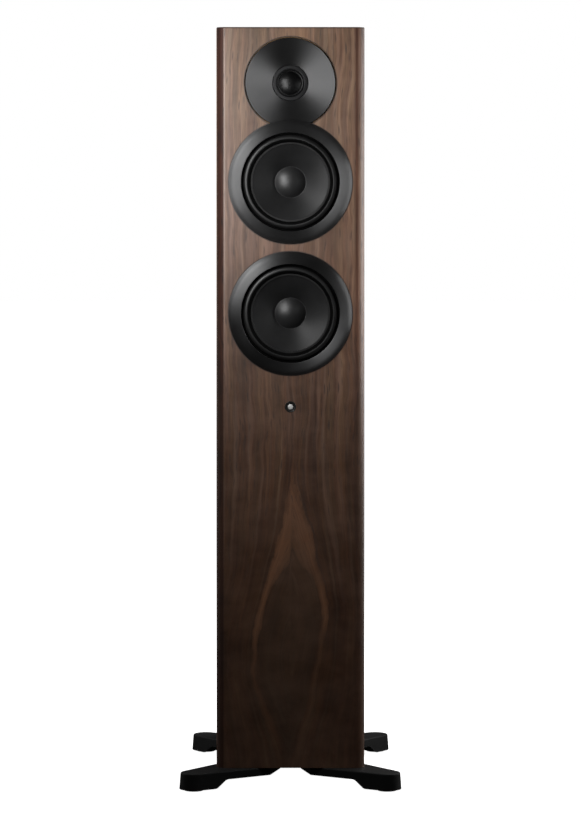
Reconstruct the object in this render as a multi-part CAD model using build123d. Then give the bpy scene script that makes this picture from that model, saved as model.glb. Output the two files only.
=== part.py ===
"""Slim two-woofer floorstanding loudspeaker, built up from its separate pieces.

Millimetres. +Z is up and the drivers face -Y. The origin is on the floor, in the middle of the
footprint of the feet. A "depth" is measured backwards from the front face of the cabinet.
"""

import os
from math import asin, cos, pi, radians, sin, sqrt, tan

from build123d import *

# ---------------------------------------------------------------- driving dimensions
CABINET_W, CABINET_D, CABINET_H = 180.6, 267.0, 904.0
EDGE_R, EDGE_W = 13.1, 11.0  # curve of the vertical edges, and how far it reaches across the front
TOP_EDGE_R = 1.6  # edges of the top
FLOOR_GAP = 22.0  # underside of the cabinet above the floor
FACE_Y = -118.5  # front face of the cabinet
VENEER_T = 0.6
BAFFLE_T, SIDE_T, REAR_T, CAP_T = 25.0, 15.0, 18.0, 18.0
BRACE_T, BRACE_RIM = 12.0, 30.0

TOP_Z = FLOOR_GAP + CABINET_H
TWEETER_Z = TOP_Z - 67.8
WOOFER_Z = {"upper": TOP_Z - 188.6, "lower": TOP_Z - 348.8}
BADGE_Z = TOP_Z - 462.6
PORT_Z = 560.0
TERMINAL_Z = 132.0
BRACE_Z = (230.0, 430.0, 657.0)

WOOFER_POCKET_R, WOOFER_HOLE_R = 67.0, 60.0
TWEETER_POCKET_R, TWEETER_HOLE_R = 56.2, 38.0
POCKET_DEPTH = 6.0
GASKET_T = 1.0
BADGE_R, BADGE_DEPTH = 6.8, 2.0

FOOT_FRONT = (117.0, -29.0)  # centre of a foot's round end: sideways, depth
FOOT_REAR = (110.5, 266.0)
FOOT_ANGLE = 42.5  # each arm runs inwards at this angle to the cabinet's face
FOOT_END_R = 16.2
FOOT_LENGTH = 134.0
FOOT_SPREAD = 10.75  # each long side leaves the arm's own line by this angle
ARM_T = 10.0
ARM_CLEARANCE = 2.0  # underside of the foot's end block above the floor
GLIDE_R, GLIDE_T = 12.5, 4.0
LEVEL_STUD_R = 4.0

PORT_R, PORT_LENGTH = 25.0, 117.0
POST_X = 19.0
POST_R = 4.0
SOCKET_R, SOCKET_LENGTH = 2.05, 12.5

CORE_W = CABINET_W - 2 * VENEER_T
CORE_TOP = TOP_Z - VENEER_T
INSIDE_X = CORE_W / 2 - SIDE_T
INSIDE_FRONT = VENEER_T + BAFFLE_T
INSIDE_REAR = CABINET_D - VENEER_T - REAR_T
OVER = 1.0  # how far a cutting tool runs past the face it opens

CORNERS = (45, 135, 225, 315)
parts = {}


# ---------------------------------------------------------------- helpers
def at(x, depth, z):
    """A place inside the cabinet: sideways, depth behind the front face, height."""
    return Pos(x, FACE_Y + depth, z)


def section(start, *steps):
    """Closed face through points; a step is a point, or (point on the way, end) for an arc."""
    edges, here = [], start
    for step in (*steps, start):
        if isinstance(step[0], tuple):
            edges.append(ThreePointArc(here, *step))
            here = step[1]
        elif step != here:
            edges.append(Line(here, step))
            here = step
    return make_face(edges)


def cap(edge, apex_depth):
    """Step that follows a sphere centred on the axis, from an edge point to the apex."""
    edge_r, edge_depth = edge
    rise = edge_depth - apex_depth
    ball_r = (edge_r**2 + rise**2) / (2 * rise)
    middle_r = edge_r / 2
    fall = abs(ball_r) - sqrt(ball_r**2 - middle_r**2)
    middle_depth = apex_depth + fall if rise > 0 else apex_depth - fall
    return (middle_r, middle_depth), (0, apex_depth)


def cap_outwards(edge, apex_depth):
    """The same sphere, followed from the apex to the edge point."""
    middle, _ = cap(edge, apex_depth)
    return middle, edge


def turned(z, *outline, x=0.0):
    """Solid of revolution about a front-to-back axis; the outline is in (radius, depth)."""
    return at(x, 0, z) * revolve(section(*outline), axis=Axis.Y)


def disc(radius, depth, thickness, z, x=0.0):
    """Round bar along the front-to-back axis, from depth to depth + thickness."""
    middle = at(x, depth + thickness / 2, z)
    return middle * Rot(90, 0, 0) * Cylinder(radius, thickness)


def ring(inner, outer, depth, thickness, z, x=0.0):
    """Washer or tube along the front-to-back axis."""
    through = disc(inner, depth - OVER, thickness + 2 * OVER, z, x)
    return disc(outer, depth, thickness, z, x) - through


def slab(x0, x1, depth0, depth1, z0, z1):
    """Box between two corners, in the cabinet's own directions."""
    middle = at((x0 + x1) / 2, (depth0 + depth1) / 2, (z0 + z1) / 2)
    return middle * Box(x1 - x0, depth1 - depth0, z1 - z0)


def around(radius, angles, z):
    """Points on a circle in the plane of the front face, as (x, z)."""
    return [(radius * cos(radians(a)), z + radius * sin(radians(a))) for a in angles]


def column(inset, z0, z1):
    """The cabinet's outer form, or the same form a little smaller all round.

    Its vertical edges curve smoothly off the front and the back and meet the sides at a soft arris.
    """
    half, front, back = CABINET_W / 2 - inset, inset, CABINET_D - inset
    radius, reach = EDGE_R - inset, EDGE_W - inset
    half_turn = asin(reach / radius) / 2
    fall = radius * (1 - cos(2 * half_turn))
    on_the_way = half - reach + radius * sin(half_turn), radius * (1 - cos(half_turn))
    across, into = on_the_way
    plan = section(
        (half - reach, front),
        ((across, front + into), (half, front + fall)),
        (half, back - fall),
        ((across, back - into), (half - reach, back)),
        (reach - half, back),
        ((-across, back - into), (-half, back - fall)),
        (-half, front + fall),
        ((-across, front + into), (reach - half, front)),
    )
    shaft = at(0, 0, z0) * extrude(plan, z1 - z0, dir=(0, 0, 1))
    return fillet(shaft.faces().sort_by(Axis.Z)[-1].edges(), TOP_EDGE_R - inset)


def rounded_plate(width, height, corner_r, depth, thickness, z):
    """Plate parallel to the front face, with rounded corners."""
    outline = Rot(90, 0, 0) * RectangleRounded(width, height, corner_r)
    return at(0, depth, z) * extrude(outline, thickness, dir=(0, 1, 0))


def join(solids):
    """Several separate solids as one node."""
    return Compound(children=list(solids))


# ---------------------------------------------------------------- cabinet
def driver_openings(depth0):
    """Cutting tools for the drivers and the badge, through everything behind depth0."""
    tools = []
    for z in WOOFER_Z.values():
        tools.append(disc(WOOFER_POCKET_R, depth0, POCKET_DEPTH - depth0, z))
        tools.append(disc(WOOFER_HOLE_R, 0, INSIDE_FRONT + OVER, z))
    tools.append(disc(TWEETER_POCKET_R, depth0, POCKET_DEPTH - depth0, TWEETER_Z))
    tools.append(disc(TWEETER_HOLE_R, 0, INSIDE_FRONT + OVER, TWEETER_Z))
    tools.append(disc(BADGE_R + 0.1, depth0, BADGE_DEPTH - depth0, BADGE_Z))
    return tools


DRIVER_SCREW_R, DRIVER_SCREW_LENGTH = 1.7, 20.0
DRIVER_SCREW_RING, TWEETER_SCREW_RING = 62.9, 46.0
TWEETER_SCREW_SEAT = 25.1  # head of a tweeter screw, driven from inside the cabinet
PORT_SPIGOT_R = 32.8
CUP_W, CUP_H, CUP_CORNER = 83.0, 49.0, 11.0
CUP_FLANGE_W, CUP_FLANGE_H = 104.0, 70.0
CUP_WALL, CUP_FLANGE_T = 2.5, 2.5
CUP_FLOOR = 243.0  # depth of the floor of the recess
CUP_SCREWS = [(x, TERMINAL_Z + z) for x in (-46.0, 46.0) for z in (-29.0, 29.0)]
CUP_SCREW_R = 1.6


def rear_openings(depth0, depth1):
    """Cutting tools for the port and the terminal cup, between two depths."""
    span = depth1 - depth0
    tools = [disc(PORT_SPIGOT_R + 0.2, depth0, span, PORT_Z)]
    tools.append(
        rounded_plate(CUP_W + 0.8, CUP_H + 0.8, CUP_CORNER + 0.4, depth0, span, TERMINAL_Z)
    )
    for x, z in CUP_SCREWS:
        tools.append(disc(CUP_SCREW_R + 0.05, depth0, span, z, x))
    return tools


def foot_screw_places():
    """Upright screw positions of all four feet, in the row frame."""
    places = []
    for side, place, direction in foot_layout():
        for along, across in FOOT_SCREWS:
            local = Vector(along, across, 0)
            spot = foot_location(side, place, direction) * Pos(local)
            places.append((spot.position.X, spot.position.Y))
    return places


def build_cabinet():
    core = column(VENEER_T, FLOOR_GAP, CORE_TOP)
    half = CABINET_W

    baffle = core & slab(-half, half, 0, INSIDE_FRONT, 0, TOP_Z)
    baffle -= driver_openings(0)
    relief_start, relief_r = 15.0, 69.0
    for z in WOOFER_Z.values():
        baffle -= turned(
            z,
            (0, relief_start),
            (WOOFER_HOLE_R, relief_start),
            (relief_r, INSIDE_FRONT + 0.01),
            (0, INSIDE_FRONT + 0.01),
        )
        for x, hole_z in around(DRIVER_SCREW_RING, CORNERS, z):
            baffle -= disc(DRIVER_SCREW_R + 0.05, POCKET_DEPTH - OVER, 19.5, hole_z, x)
    for x, hole_z in around(TWEETER_SCREW_RING, CORNERS, TWEETER_Z):
        baffle -= disc(DRIVER_SCREW_R + 0.2, POCKET_DEPTH - OVER, BAFFLE_T, hole_z, x)
        baffle -= disc(3.2, TWEETER_SCREW_SEAT - 2.5, BAFFLE_T, hole_z, x)
    parts["front_baffle"] = baffle

    rear = core & slab(-half, half, INSIDE_REAR, CABINET_D, 0, TOP_Z)
    parts["rear_panel"] = rear - rear_openings(INSIDE_REAR - OVER, CABINET_D + OVER)

    for name, side in (("left", -1), ("right", 1)):
        inner, outer = sorted((side * INSIDE_X, side * CORE_W / 2))
        panel = slab(inner, outer, INSIDE_FRONT, INSIDE_REAR, FLOOR_GAP, CORE_TOP)
        parts[f"{name}_side_panel"] = core & panel

    reach = (-INSIDE_X, INSIDE_X, INSIDE_FRONT, INSIDE_REAR)
    parts["top_panel"] = slab(*reach, CORE_TOP - CAP_T, CORE_TOP)
    bottom = slab(*reach, FLOOR_GAP, FLOOR_GAP + CAP_T)
    for x, y in foot_screw_places():
        bottom -= Pos(x, y, FLOOR_GAP) * Cylinder(FOOT_SCREW_R + 0.05, 2 * FOOT_SCREW_GRIP)
    parts["bottom_panel"] = bottom

    braces = []
    window = RectangleRounded(
        2 * INSIDE_X - 2 * BRACE_RIM, INSIDE_REAR - INSIDE_FRONT - 2 * BRACE_RIM, 18
    )
    middle_depth = (INSIDE_FRONT + INSIDE_REAR) / 2
    for z in BRACE_Z:
        brace = slab(*reach, z - BRACE_T / 2, z + BRACE_T / 2)
        tool = at(0, middle_depth, z - BRACE_T) * extrude(window, 2 * BRACE_T)
        braces.append(brace - tool)
    parts["window_braces"] = join(braces)

    wrap = column(0, FLOOR_GAP, TOP_Z) - column(VENEER_T, FLOOR_GAP - OVER, CORE_TOP)
    wrap -= driver_openings(-OVER)
    wrap -= rear_openings(CABINET_D - 2 * VENEER_T, CABINET_D + OVER)
    parts["walnut_veneer"] = wrap

    foam_t, foam_front, foam_rear, foam_gap = 12.0, 80.0, 232.0, 8.0
    floors = [FLOOR_GAP + CAP_T, *(z + BRACE_T / 2 for z in BRACE_Z)]
    ceilings = [*(z - BRACE_T / 2 for z in BRACE_Z), CORE_TOP - CAP_T]
    sheets = []
    for side in (-1, 1):
        inner, outer = sorted((side * (INSIDE_X - foam_t), side * INSIDE_X))
        for low, high in zip(floors, ceilings):
            sheets.append(
                slab(inner, outer, foam_front, foam_rear, low + foam_gap, high - foam_gap)
            )
    parts["damping_foam"] = join(sheets)


def build_badge():
    rim_r, pip_r, proud, seat = 5.6, 2.2, 0.4, BADGE_DEPTH - 0.8
    body = turned(
        BADGE_Z,
        (pip_r, -proud + 0.1),
        (rim_r, -proud + 0.1),
        (BADGE_R - 0.3, -proud),
        (BADGE_R, 0),
        (BADGE_R, BADGE_DEPTH),
        (0, BADGE_DEPTH),
        (0, seat),
        (pip_r, seat),
    )
    pip_edge = (pip_r, -proud)
    pip = turned(BADGE_Z, (0, seat), (pip_r, seat), pip_edge, cap(pip_edge, -proud - 0.35))
    parts["badge"] = join([body, pip])


# ---------------------------------------------------------------- woofers
FLANGE_R, FLANGE_T = 66.6, 5.0
SURROUND_LEDGE_R, LEDGE_DEPTH = 60.4, 1.4
TRIM_IN_R, TRIM_OUT_R, TRIM_T = 60.3, 75.5, 5.0
ROLL_R, ROLL_MIDDLE, ROLL_T = 4.3, 53.3, 0.8
COIL_R, FORMER_T, WINDING_T = 19.0, 0.25, 0.9
POLE_R, GAP_R = 18.55, 20.6
SPIDER_DEPTH, SPIDER_OUT_R = 28.0, 45.5
MOTOR_DEPTH, TOP_PLATE_T, MAGNET_T, YOKE_T = 38.0, 6.0, 16.0, 6.0
MAGNET_R = 45.0


def woofer_basket(z):
    seat = MOTOR_DEPTH
    basket = turned(
        z,
        (SURROUND_LEDGE_R, 0),
        (FLANGE_R, 0),
        (FLANGE_R, FLANGE_T),
        (59.2, FLANGE_T),
        (59.2, 12),
        (46.5, seat - 4),
        (46.5, seat),
        (30, seat),
        (30, seat - 2.5),
        (37.5, seat - 2.5),
        (37.5, SPIDER_DEPTH),
        (46.6, SPIDER_DEPTH),
        (56.8, 11),
        (56.8, LEDGE_DEPTH),
        (SURROUND_LEDGE_R, LEDGE_DEPTH),
    )
    window_w, window_t = 33.0, 12.5
    for k in range(6):
        tool = at(0, 20, z) * Rot(0, 60 * k + 30, 0) * Pos(53, 0, 0)
        basket -= tool * Box(24, window_t, window_w)
    for x, hole_z in around(DRIVER_SCREW_RING, CORNERS, z):
        basket -= disc(DRIVER_SCREW_R + 0.2, -OVER, FLANGE_T + 2 * OVER, hole_z, x)
        basket -= disc(2.7, -OVER, 2.9 + OVER, hole_z, x)
    tag_block = slab(47.5, 55, 27, 34, z - 9, z + 9)
    return basket + tag_block


def woofer_trim(z):
    """Rounded cover ring: nearly flat inside, rolled down to the cabinet outside."""
    front = -TRIM_T
    return turned(
        z,
        (TRIM_IN_R, 0),
        (TRIM_OUT_R, 0),
        (TRIM_OUT_R, -0.7),
        ((73.4, front + 1.75), (68.2, front + 0.45)),
        (61.6, front),
        ((60.7, front + 0.3), (TRIM_IN_R, front + 1.1)),
    )


def woofer_surround(z):
    """Half-roll rubber surround between the basket's ledge and the edge of the cone."""
    glue_out, glue_in = SURROUND_LEDGE_R - 0.2, 46.2
    middle, back = LEDGE_DEPTH - ROLL_T / 2, LEDGE_DEPTH
    front = back - ROLL_T
    big, small = ROLL_R + ROLL_T / 2, ROLL_R - ROLL_T / 2
    big_half = sqrt(big**2 - (ROLL_T / 2) ** 2)
    small_half = sqrt(small**2 - (ROLL_T / 2) ** 2)
    return turned(
        z,
        (glue_out, front),
        (ROLL_MIDDLE + big_half, front),
        ((ROLL_MIDDLE, middle - big), (ROLL_MIDDLE - big_half, front)),
        (glue_in, front),
        (glue_in, back),
        (ROLL_MIDDLE - small_half, back),
        ((ROLL_MIDDLE, middle - small), (ROLL_MIDDLE + small_half, back)),
        (glue_out, back),
    )


def woofer_cone(z):
    """One-piece moulding: shallow flared cone, raised centre dome and the neck for the coil."""
    neck_out, neck_in = COIL_R + FORMER_T + 0.8, COIL_R + FORMER_T + 0.02
    crease, dome_edge = (18.9, 16.9), (17.9, 17.4)
    return turned(
        z,
        (49.0, LEDGE_DEPTH),
        (46.4, LEDGE_DEPTH + 0.1),
        ((33.0, 8.4), crease),
        cap(crease, 9.4),
        (0, 10.2),
        cap_outwards(dome_edge, 10.2),
        (17.9, 17.95),
        (neck_in, 17.95),
        (neck_in, 21.5),
        (neck_out, 21.5),
        (neck_out, 17.9),
        ((33.2, 9.4), (46.7, LEDGE_DEPTH + 0.8)),
        (49.0, LEDGE_DEPTH + 0.8),
    )


def woofer_voice_coil(z):
    front, back, winding = 18.0, 47.5, 13.0
    former = ring(COIL_R, COIL_R + FORMER_T, front, back - front, z)
    outer = COIL_R + FORMER_T + WINDING_T
    return join([former, ring(COIL_R + FORMER_T, outer, back - winding, winding, z)])


def woofer_spider(z):
    """Corrugated centring disc, from the coil's collar to the basket's inner ledge."""
    inner, flat, t, wave = COIL_R + FORMER_T, 39.0, 0.6, 1.4
    teeth = 4
    step = (flat - inner - 2.0) / (2 * teeth)
    corners = [(inner + 2.0 + k * step, SPIDER_DEPTH - t - wave * (k % 2)) for k in range(2 * teeth)]
    front = [(inner, SPIDER_DEPTH - t - 2.2), (inner + 1.2, SPIDER_DEPTH - t), *corners]
    front += [(flat, SPIDER_DEPTH - t), (SPIDER_OUT_R, SPIDER_DEPTH - t)]
    back = [(r, depth + t) for r, depth in reversed(front)]
    return turned(z, *front, *back)


def woofer_motor(z):
    plate = ring(GAP_R, 44.0, MOTOR_DEPTH, TOP_PLATE_T, z)
    base = MOTOR_DEPTH + TOP_PLATE_T + MAGNET_T
    yoke = turned(
        z,
        (6, MOTOR_DEPTH - 0.5),
        (POLE_R, MOTOR_DEPTH - 0.5),
        (POLE_R, base),
        (42.5, base),
        (42.5, base + YOKE_T - 1.5),
        (41, base + YOKE_T),
        (6, base + YOKE_T),
    )
    magnet = ring(27.0, MAGNET_R, MOTOR_DEPTH + TOP_PLATE_T, MAGNET_T, z)
    return magnet, join([plate, yoke])


def cheese_screw(x, z, depth, head_r, head_t, shank_r, length, facing):
    """Socket screw along the front-to-back axis; facing is +1 if it is driven from the front.

    The depth is that of the top of its head.
    """
    head = disc(head_r, depth if facing > 0 else depth - head_t, head_t, z, x)
    shank_from = depth + head_t if facing > 0 else depth - head_t - length
    socket_from = depth if facing > 0 else depth - head_t * 0.6
    socket = at(x, socket_from, z) * Rot(-90, 0, 0)
    socket *= extrude(RegularPolygon(head_r * 0.5, 6), head_t * 0.6)
    return head + disc(shank_r, shank_from, length, z, x) - socket


def driver_screw(x, z, depth, facing):
    """The one kind of screw that holds all three drivers."""
    return cheese_screw(x, z, depth, 2.5, 2.5, DRIVER_SCREW_R, DRIVER_SCREW_LENGTH, facing)


def build_woofers():
    screws = []
    for name, z in WOOFER_Z.items():
        prefix = f"{name}_woofer"
        parts[f"{prefix}_basket"] = woofer_basket(z)
        parts[f"{prefix}_trim_ring"] = woofer_trim(z)
        parts[f"{prefix}_surround"] = woofer_surround(z)
        parts[f"{prefix}_cone"] = woofer_cone(z)
        parts[f"{prefix}_voice_coil"] = woofer_voice_coil(z)
        parts[f"{prefix}_spider"] = woofer_spider(z)
        magnet, steel = woofer_motor(z)
        parts[f"{prefix}_magnet"] = magnet
        parts[f"{prefix}_motor_steel"] = steel
        for x, screw_z in around(DRIVER_SCREW_RING, CORNERS, z):
            screws.append(driver_screw(x, screw_z, 0.35, 1))
    for x, screw_z in around(TWEETER_SCREW_RING, CORNERS, TWEETER_Z):
        screws.append(driver_screw(x, screw_z, TWEETER_SCREW_SEAT, -1))
    parts["driver_screws"] = join(screws)


# ---------------------------------------------------------------- tweeter
FACEPLATE_R, FACEPLATE_T = 54.8, 5.0
THROAT_R, THROAT_DEPTH, BOSS_R = 22.4, 5.2, 37.0
DOME_R, DOME_SEAT = 14.0, 9.0
PLATE_DEPTH, PLATE_T, TWEETER_MAGNET_T = 12.0, 3.0, 9.0
TWEETER_POLE_R, TWEETER_GAP_R = 13.3, 14.9


def build_tweeter():
    z = TWEETER_Z
    faceplate = turned(
        z,
        (21.8, 7.2),
        (THROAT_R, THROAT_DEPTH),
        (54.2, 0.0),
        (FACEPLATE_R, 0.6),
        (FACEPLATE_R, FACEPLATE_T),
        (BOSS_R, FACEPLATE_T),
        (BOSS_R, PLATE_DEPTH),
        (21.8, PLATE_DEPTH),
    )
    faceplate -= disc(WOOFER_POCKET_R, -OVER, 10, WOOFER_Z["upper"])
    for x, hole_z in around(TWEETER_SCREW_RING, CORNERS, z):
        faceplate -= disc(DRIVER_SCREW_R + 0.05, 2.6, FACEPLATE_T, hole_z, x)
    parts["tweeter_faceplate"] = faceplate

    seat = DOME_SEAT - 0.1
    parts["tweeter_dome_ring"] = turned(
        z,
        (21.7, 7.3),
        (20.9, 6.7),
        (17.9, 6.5),
        (17.5, 7.1),
        (17.1, 6.4),
        (16.7, 6.4),
        (16.6, seat),
        (21.7, seat),
    )
    parts["tweeter_dome"] = turned(
        z,
        (0, 3.6),
        cap_outwards((13.9, 8.7), 3.6),
        ((15.15, 7.6), (16.4, seat)),
        (20.0, seat),
        (20.0, seat + 0.35),
        (16.1, seat + 0.35),
        ((15.15, 8.05), (14.2, seat + 0.35)),
        (13.6, seat + 0.35),
        cap((13.6, seat + 0.35), 3.95),
    )
    coil_in, coil_out, coil_front, coil_back = 13.7, 13.95, DOME_SEAT + 0.25, 14.6
    winding = 3.4
    former = ring(coil_in, coil_out, coil_front, coil_back - coil_front, z)
    copper = ring(coil_out, coil_out + 0.5, coil_back - winding, winding, z)
    parts["tweeter_voice_coil"] = join([former, copper])

    magnet_depth = PLATE_DEPTH + PLATE_T
    base = magnet_depth + TWEETER_MAGNET_T
    plate = turned(
        z,
        (TWEETER_GAP_R, PLATE_DEPTH),
        (17.2, PLATE_DEPTH),
        (17.2, seat + 0.4),
        (21.6, seat + 0.4),
        (21.6, PLATE_DEPTH),
        (35.0, PLATE_DEPTH),
        (35.0, magnet_depth),
        (TWEETER_GAP_R, magnet_depth),
    )
    yoke = turned(
        z,
        (4, PLATE_DEPTH - 0.4),
        (TWEETER_POLE_R, PLATE_DEPTH - 0.4),
        (TWEETER_POLE_R, base),
        (33, base),
        (33, base + 4),
        (4, base + 4),
    )
    parts["tweeter_motor_steel"] = join([plate, yoke])
    parts["tweeter_magnet"] = ring(20.0, 35.5, magnet_depth, TWEETER_MAGNET_T, z)
    chamber = base + 4
    parts["tweeter_rear_chamber"] = turned(
        z,
        (27, chamber),
        (27, chamber + 18),
        ((26.1, chamber + 20.1), (24, chamber + 21)),
        (0, chamber + 21),
        (0, chamber + 18.5),
        (24.5, chamber + 18.5),
        (24.5, chamber),
    )


def build_gaskets():
    gasket_depth = POCKET_DEPTH - GASKET_T
    gaskets = []
    for z in WOOFER_Z.values():
        gasket = ring(WOOFER_HOLE_R, FLANGE_R, gasket_depth, GASKET_T, z)
        for x, hole_z in around(DRIVER_SCREW_RING, CORNERS, z):
            gasket -= disc(DRIVER_SCREW_R + 0.2, 0, 2 * POCKET_DEPTH, hole_z, x)
        gaskets.append(gasket)
    gasket = ring(TWEETER_HOLE_R, FACEPLATE_R, gasket_depth, GASKET_T, TWEETER_Z)
    gasket -= disc(WOOFER_POCKET_R, 0, 2 * POCKET_DEPTH, WOOFER_Z["upper"])
    for x, hole_z in around(TWEETER_SCREW_RING, CORNERS, TWEETER_Z):
        gasket -= disc(DRIVER_SCREW_R + 0.2, 0, 2 * POCKET_DEPTH, hole_z, x)
    gaskets.append(gasket)
    parts["driver_gaskets"] = join(gaskets)


# ---------------------------------------------------------------- port and terminals
def build_port():
    """Reflex tube, flared at both ends, with a flange on the rear face."""
    wall, inner_flare, outer_flare = 2.5, 7.0, 12.0
    proud = 1.6
    mouth = CABINET_D + proud
    throat_rear = mouth - outer_flare
    throat_front = CABINET_D - PORT_LENGTH + inner_flare
    slant = sqrt(0.5)

    def flare(centre_r, centre_depth, radius, way):
        """Middle and end of a quarter circle that opens the tube outwards."""
        middle = (centre_r - radius * slant, centre_depth + way * radius * slant)
        return middle, (centre_r, centre_depth + way * radius)

    flare_r = PORT_R + inner_flare
    flange_r = PORT_R + outer_flare + 3.2
    lip = flare(flare_r, throat_front, inner_flare - wall, -1)
    parts["port_tube"] = turned(
        PORT_Z,
        (PORT_R, throat_front),
        (PORT_R, throat_rear),
        flare(PORT_R + outer_flare, throat_rear, outer_flare, 1),
        (flange_r - 0.8, mouth),
        (flange_r, mouth - 0.8),
        (flange_r, CABINET_D),
        (PORT_SPIGOT_R, CABINET_D),
        (PORT_SPIGOT_R, INSIDE_REAR),
        (PORT_R + wall, INSIDE_REAR),
        (PORT_R + wall, throat_front),
        lip,
        (flare_r, throat_front - inner_flare),
        (
            (flare_r - inner_flare * slant, throat_front - inner_flare * slant),
            (PORT_R, throat_front),
        ),
    )


POST_FLANGE_T, POST_TAIL = 2.0, 12.0
WASHER_T, KNOB_LENGTH, KNOB_R = 1.5, 17.0, 9.0
POST_GAP, RUNNING_FIT = 0.3, 0.08


def build_terminals():
    cup = rounded_plate(CUP_FLANGE_W, CUP_FLANGE_H, 8, CABINET_D, CUP_FLANGE_T, TERMINAL_Z)
    floor_t = 3.0
    body_depth = CUP_FLOOR - floor_t
    cup += rounded_plate(
        CUP_W, CUP_H, CUP_CORNER, body_depth, CABINET_D - body_depth, TERMINAL_Z
    )
    cup -= rounded_plate(
        CUP_W - 2 * CUP_WALL,
        CUP_H - 2 * CUP_WALL,
        CUP_CORNER - CUP_WALL,
        CUP_FLOOR,
        CABINET_D + 2 * CUP_FLANGE_T - CUP_FLOOR,
        TERMINAL_Z,
    )
    for x in (-POST_X, POST_X):
        cup -= disc(POST_R + 0.1, body_depth - OVER, floor_t + 2 * OVER, TERMINAL_Z, x)
    for x, z in CUP_SCREWS:
        cup -= disc(CUP_SCREW_R + 0.2, CABINET_D - OVER, CUP_FLANGE_T + 2 * OVER, z, x)
    parts["terminal_cup"] = cup

    head_t = 1.8
    outside = CABINET_D + CUP_FLANGE_T + head_t
    parts["terminal_screws"] = join(
        cheese_screw(x, z, outside, 3.0, head_t, CUP_SCREW_R, 16, facing=-1)
        for x, z in CUP_SCREWS
    )

    tip = CUP_FLOOR + 19.0
    studs = []
    for x in (-POST_X, POST_X):
        stud = disc(POST_R, body_depth - POST_TAIL, tip - body_depth + POST_TAIL, TERMINAL_Z, x)
        stud += disc(8.0, CUP_FLOOR, POST_FLANGE_T, TERMINAL_Z, x)
        stud -= disc(SOCKET_R, tip - SOCKET_LENGTH, SOCKET_LENGTH + OVER, TERMINAL_Z, x)
        nut = at(x, body_depth, TERMINAL_Z) * Rot(90, 0, 0)
        stud += nut * extrude(RegularPolygon(7.5, 6), 4.5)
        stud += disc(0.9, body_depth - POST_TAIL - 6, 6, TERMINAL_Z, x)
        studs.append(stud)
    parts["post_studs"] = join(studs)

    washer_depth = CUP_FLOOR + POST_FLANGE_T + POST_GAP
    knob_depth = washer_depth + WASHER_T + POST_GAP
    for name, x in (("red", -POST_X), ("black", POST_X)):
        parts[f"{name}_post_washer"] = ring(
            POST_R + RUNNING_FIT, 7.6, washer_depth, WASHER_T, TERMINAL_Z, x
        )
        end = knob_depth + KNOB_LENGTH
        knob = turned(
            TERMINAL_Z,
            (POST_R + RUNNING_FIT, knob_depth),
            (KNOB_R - 0.6, knob_depth),
            (KNOB_R, knob_depth + 0.6),
            (KNOB_R, end - 4.0),
            (KNOB_R - 1.6, end - 1.0),
            (KNOB_R - 2.6, end),
            (SOCKET_R + 0.9, end),
            (SOCKET_R + 0.6, end - 0.5),
            (SOCKET_R + 0.6, end - 1.4),
            (POST_R + RUNNING_FIT, end - 1.4),
            x=x,
        )
        flutes = 14
        for k in range(flutes):
            angle = 2 * pi * k / flutes
            offset = KNOB_R + 0.35
            flute = disc(
                1.0,
                knob_depth + 1.5,
                KNOB_LENGTH,
                TERMINAL_Z + offset * sin(angle),
                x + offset * cos(angle),
            )
            knob -= flute
        parts[f"{name}_post_knob"] = knob


# ---------------------------------------------------------------- crossover and wiring
BOARD_T, STANDOFF = 1.6, 10.0
BOARD_W, BOARD_LOW, BOARD_HIGH = 108.0, 256.0, 366.0
BOARD_DEPTH = INSIDE_REAR - STANDOFF - BOARD_T
WIRE_R, CONNECTOR_T, LANE_DEPTH = 1.3, 8.0, 112.0


def build_crossover():
    board = slab(
        -BOARD_W / 2, BOARD_W / 2, BOARD_DEPTH, BOARD_DEPTH + BOARD_T, BOARD_LOW, BOARD_HIGH
    )
    for x in (-BOARD_W / 2 + 7, BOARD_W / 2 - 7):
        for z in (BOARD_LOW + 7, BOARD_HIGH - 7):
            board += disc(3.5, BOARD_DEPTH + BOARD_T, STANDOFF, z, x)
    parts["crossover_board"] = board

    def bobbin(x, z, outer, height):
        """Air-core inductor: a copper winding on a flanged former."""
        foot = BOARD_DEPTH - height
        former = turned(
            z,
            (outer * 0.35, foot),
            (outer * 0.98, foot),
            (outer * 0.98, foot + 1.5),
            (outer * 0.45, foot + 1.5),
            (outer * 0.45, BOARD_DEPTH - 1.5),
            (outer * 0.98, BOARD_DEPTH - 1.5),
            (outer * 0.98, BOARD_DEPTH),
            (outer * 0.35, BOARD_DEPTH),
            x=x,
        )
        copper = ring(outer * 0.45, outer, foot + 1.6, height - 3.2, z, x)
        return [former, copper]

    coils = [(-30, 338, 20, 24), (26, 336, 15, 18), (30, 284, 13, 16)]
    inductors = []
    for coil in coils:
        inductors += bobbin(*coil)
    parts["crossover_inductors"] = join(inductors)

    def can(x, z, radius, length):
        """Film capacitor lying flat on the board."""
        return at(x, BOARD_DEPTH - radius - 0.3, z) * Rot(0, 90, 0) * Cylinder(radius, length)

    cans = [(-28, 300, 9, 36), (-28, 276, 7, 32), (0, 262, 3, 22)]
    pieces = [can(*c) for c in cans]
    pieces += [
        slab(-10, 8, BOARD_DEPTH - 8.3, BOARD_DEPTH - 0.3, z, z + 8) for z in (288, 302)
    ]
    parts["crossover_capacitors"] = join(pieces)


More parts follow.
